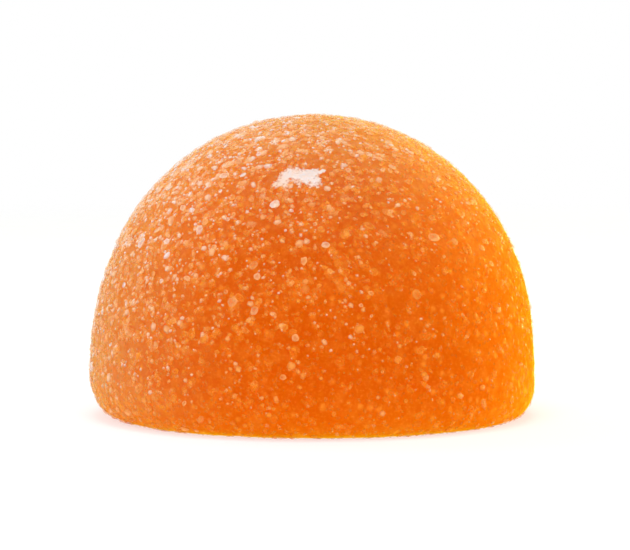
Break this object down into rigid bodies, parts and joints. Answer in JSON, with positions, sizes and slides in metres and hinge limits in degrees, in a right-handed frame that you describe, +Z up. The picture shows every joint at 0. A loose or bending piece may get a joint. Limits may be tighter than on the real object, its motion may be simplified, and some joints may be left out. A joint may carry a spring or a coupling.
{
  "type": "gumdrop",
  "caption": "Sugar-coated orange jelly sweet: a solid dome with a full round crown, a rounded foot, a flat base and a coat of sugar crystals.",
  "frame": {"origin": "middle of the flat face that the sweet stands on", "axes": "+Z up through the crown; the sweet is round about it, and -Y is the side that the picture shows"},
  "size_m": [0.0281, 0.0281, 0.019],
  "materials": {
    "sugared_jelly": "satin",
    "sugar": "satin"
  },
  "bodies": {
    "root": {"sugared_jelly": "sugared_jelly"}
  },
  "joints": []
}
